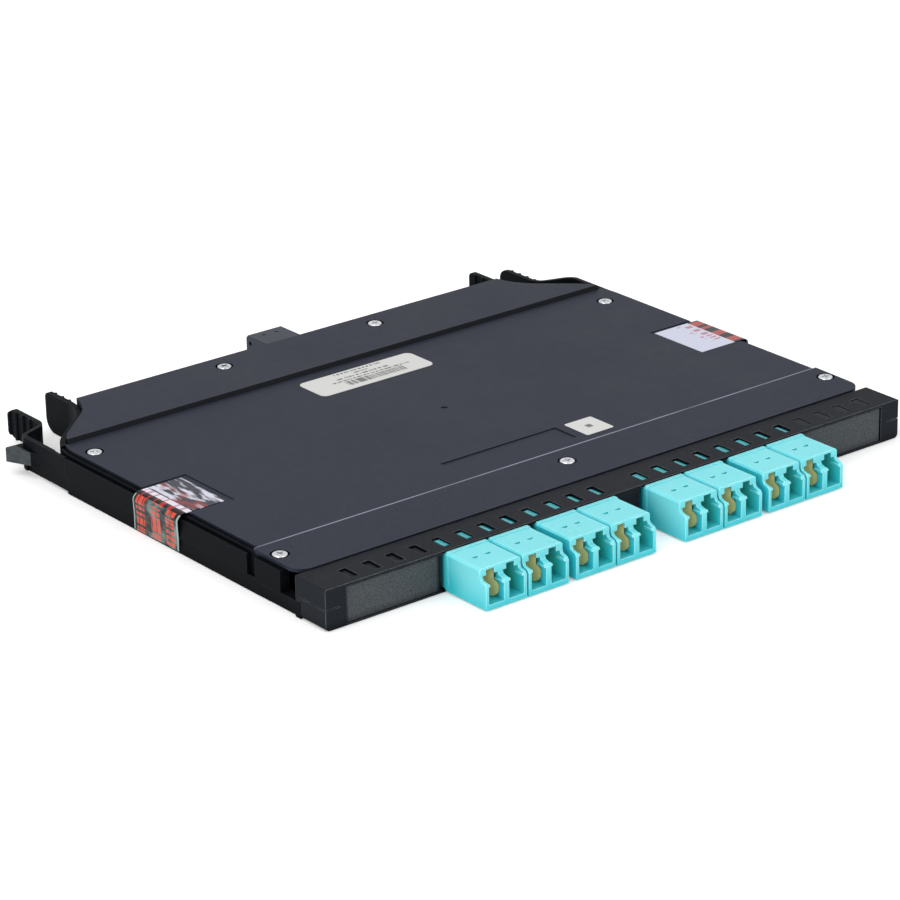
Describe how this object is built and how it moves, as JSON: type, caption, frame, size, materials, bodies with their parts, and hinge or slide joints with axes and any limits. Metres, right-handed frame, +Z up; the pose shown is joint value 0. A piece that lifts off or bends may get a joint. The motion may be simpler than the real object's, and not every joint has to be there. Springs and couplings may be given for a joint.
{
  "type": "fibre cassette",
  "caption": "Flat sliding fibre cassette with shuttered LC duplex ports in front, an MPO port behind, sprung latch arms and fixed finger tabs.",
  "frame": {"origin": "on the underside, at the middle of the bezel's front face, where the chassis slide mount is", "axes": "+X across the front to the right, +Y from the front to the rear, +Z up"},
  "size_m": [0.198, 0.1718, 0.0127],
  "materials": {
    "bezel_plastic": "fine-grained black moulding",
    "tray_plastic": "black moulding, satin on the rails",
    "cover_plastic": "blue-black fine grain",
    "blank_plastic": "coarse grained black",
    "arm_plastic": "black moulding with a lighter tooth",
    "adapter_plastic": "aqua moulding",
    "shutter_spring": "olive-gold sheet",
    "plug_plastic": "beige moulding",
    "fibre_jacket": "aqua jacket",
    "fanout_plastic": "black moulding",
    "mpo_plastic": "black moulding",
    "screw_zinc": "bright zinc plate",
    "label_paper": "satin white label",
    "seal_film_pale": "pale lilac seal film",
    "seal_film": "clear film with a printed patch"
  },
  "bodies": {
    "cassette": {"base_tray": "tray_plastic", "blank_plate_left": "blank_plastic", "blank_plate_right": "blank_plastic", "cover_screws": "screw_zinc", "fanout_block": "fanout_plastic", "fibre_spools": "tray_plastic", "fibre_tails": "fibre_jacket", "front_bezel": "bezel_plastic", "lc_adapter_1": "adapter_plastic", "lc_adapter_2": "adapter_plastic", "lc_adapter_3": "adapter_plastic", "lc_adapter_4": "adapter_plastic", "lc_adapter_5": "adapter_plastic", "lc_adapter_6": "adapter_plastic", "lc_adapter_7": "adapter_plastic", "lc_adapter_8": "adapter_plastic", "mpo_adapter": "mpo_plastic", "mpo_connector": "plug_plastic", "plug_pair_1": "plug_plastic", "plug_pair_2": "plug_plastic", "plug_pair_3": "plug_plastic", "plug_pair_4": "plug_plastic", "plug_pair_5": "plug_plastic", "plug_pair_6": "plug_plastic", "plug_pair_7": "plug_plastic", "plug_pair_8": "plug_plastic", "rating_label": "label_paper", "ribbon_tube": "fibre_jacket", "screw_posts": "tray_plastic", "side_wall_left": "tray_plastic", "side_wall_right": "tray_plastic", "square_label": "label_paper", "top_cover": "cover_plastic", "wrap_seal_left": "seal_film", "wrap_seal_right": "seal_film_pale"},
    "latch_left": {"latch_arm_left": "arm_plastic"},
    "latch_right": {"latch_arm_right": "arm_plastic"},
    "leaf_left_1": {"shutter_left_1": "shutter_spring"},
    "leaf_right_1": {"shutter_right_1": "shutter_spring"},
    "leaf_left_2": {"shutter_left_2": "shutter_spring"},
    "leaf_right_2": {"shutter_right_2": "shutter_spring"},
    "leaf_left_3": {"shutter_left_3": "shutter_spring"},
    "leaf_right_3": {"shutter_right_3": "shutter_spring"},
    "leaf_left_4": {"shutter_left_4": "shutter_spring"},
    "leaf_right_4": {"shutter_right_4": "shutter_spring"},
    "leaf_left_5": {"shutter_left_5": "shutter_spring"},
    "leaf_right_5": {"shutter_right_5": "shutter_spring"},
    "leaf_left_6": {"shutter_left_6": "shutter_spring"},
    "leaf_right_6": {"shutter_right_6": "shutter_spring"},
    "leaf_left_7": {"shutter_left_7": "shutter_spring"},
    "leaf_right_7": {"shutter_right_7": "shutter_spring"},
    "leaf_left_8": {"shutter_left_8": "shutter_spring"},
    "leaf_right_8": {"shutter_right_8": "shutter_spring"}
  },
  "joints": [
    {"name": "latch_left_squeeze", "type": "hinge", "parent": "cassette", "child": "latch_left", "pos_m": [-0.09455, 0.1133, 0.0054], "axis": [0, 0, -1], "range_deg": [0, 10], "stiffness_Nm_per_rad": 0.25},
    {"name": "latch_right_squeeze", "type": "hinge", "parent": "cassette", "child": "latch_right", "pos_m": [0.09455, 0.1133, 0.0054], "axis": [0, 0, 1], "range_deg": [0, 10], "stiffness_Nm_per_rad": 0.25},
    {"name": "shutter_left_1_swing", "type": "hinge", "parent": "cassette", "child": "leaf_left_1", "pos_m": [-0.05304, -0.0136, 0.00545], "axis": [0, 0, -1], "range_deg": [0, 31], "stiffness_Nm_per_rad": 0.0004},
    {"name": "shutter_right_1_swing", "type": "hinge", "parent": "cassette", "child": "leaf_right_1", "pos_m": [-0.05171, -0.0136, 0.00545], "axis": [0, 0, 1], "range_deg": [0, 31], "stiffness_Nm_per_rad": 0.0004},
    {"name": "shutter_left_2_swing", "type": "hinge", "parent": "cassette", "child": "leaf_left_2", "pos_m": [-0.03979, -0.0136, 0.00545], "axis": [0, 0, -1], "range_deg": [0, 31], "stiffness_Nm_per_rad": 0.0004},
    {"name": "shutter_right_2_swing", "type": "hinge", "parent": "cassette", "child": "leaf_right_2", "pos_m": [-0.03846, -0.0136, 0.00545], "axis": [0, 0, 1], "range_deg": [0, 31], "stiffness_Nm_per_rad": 0.0004},
    {"name": "shutter_left_3_swing", "type": "hinge", "parent": "cassette", "child": "leaf_left_3", "pos_m": [-0.02474, -0.0136, 0.00545], "axis": [0, 0, -1], "range_deg": [0, 31], "stiffness_Nm_per_rad": 0.0004},
    {"name": "shutter_right_3_swing", "type": "hinge", "parent": "cassette", "child": "leaf_right_3", "pos_m": [-0.02341, -0.0136, 0.00545], "axis": [0, 0, 1], "range_deg": [0, 31], "stiffness_Nm_per_rad": 0.0004},
    {"name": "shutter_left_4_swing", "type": "hinge", "parent": "cassette", "child": "leaf_left_4", "pos_m": [-0.01149, -0.0136, 0.00545], "axis": [0, 0, -1], "range_deg": [0, 31], "stiffness_Nm_per_rad": 0.0004},
    {"name": "shutter_right_4_swing", "type": "hinge", "parent": "cassette", "child": "leaf_right_4", "pos_m": [-0.01016, -0.0136, 0.00545], "axis": [0, 0, 1], "range_deg": [0, 31], "stiffness_Nm_per_rad": 0.0004},
    {"name": "shutter_left_5_swing", "type": "hinge", "parent": "cassette", "child": "leaf_left_5", "pos_m": [0.01096, -0.0136, 0.00545], "axis": [0, 0, -1], "range_deg": [0, 31], "stiffness_Nm_per_rad": 0.0004},
    {"name": "shutter_right_5_swing", "type": "hinge", "parent": "cassette", "child": "leaf_right_5", "pos_m": [0.01229, -0.0136, 0.00545], "axis": [0, 0, 1], "range_deg": [0, 31], "stiffness_Nm_per_rad": 0.0004},
    {"name": "shutter_left_6_swing", "type": "hinge", "parent": "cassette", "child": "leaf_left_6", "pos_m": [0.02421, -0.0136, 0.00545], "axis": [0, 0, -1], "range_deg": [0, 31], "stiffness_Nm_per_rad": 0.0004},
    {"name": "shutter_right_6_swing", "type": "hinge", "parent": "cassette", "child": "leaf_right_6", "pos_m": [0.02554, -0.0136, 0.00545], "axis": [0, 0, 1], "range_deg": [0, 31], "stiffness_Nm_per_rad": 0.0004},
    {"name": "shutter_left_7_swing", "type": "hinge", "parent": "cassette", "child": "leaf_left_7", "pos_m": [0.03926, -0.0136, 0.00545], "axis": [0, 0, -1], "range_deg": [0, 31], "stiffness_Nm_per_rad": 0.0004},
    {"name": "shutter_right_7_swing", "type": "hinge", "parent": "cassette", "child": "leaf_right_7", "pos_m": [0.04059, -0.0136, 0.00545], "axis": [0, 0, 1], "range_deg": [0, 31], "stiffness_Nm_per_rad": 0.0004},
    {"name": "shutter_left_8_swing", "type": "hinge", "parent": "cassette", "child": "leaf_left_8", "pos_m": [0.05251, -0.0136, 0.00545], "axis": [0, 0, -1], "range_deg": [0, 31], "stiffness_Nm_per_rad": 0.0004},
    {"name": "shutter_right_8_swing", "type": "hinge", "parent": "cassette", "child": "leaf_right_8", "pos_m": [0.05384, -0.0136, 0.00545], "axis": [0, 0, 1], "range_deg": [0, 31], "stiffness_Nm_per_rad": 0.0004}
  ]
}
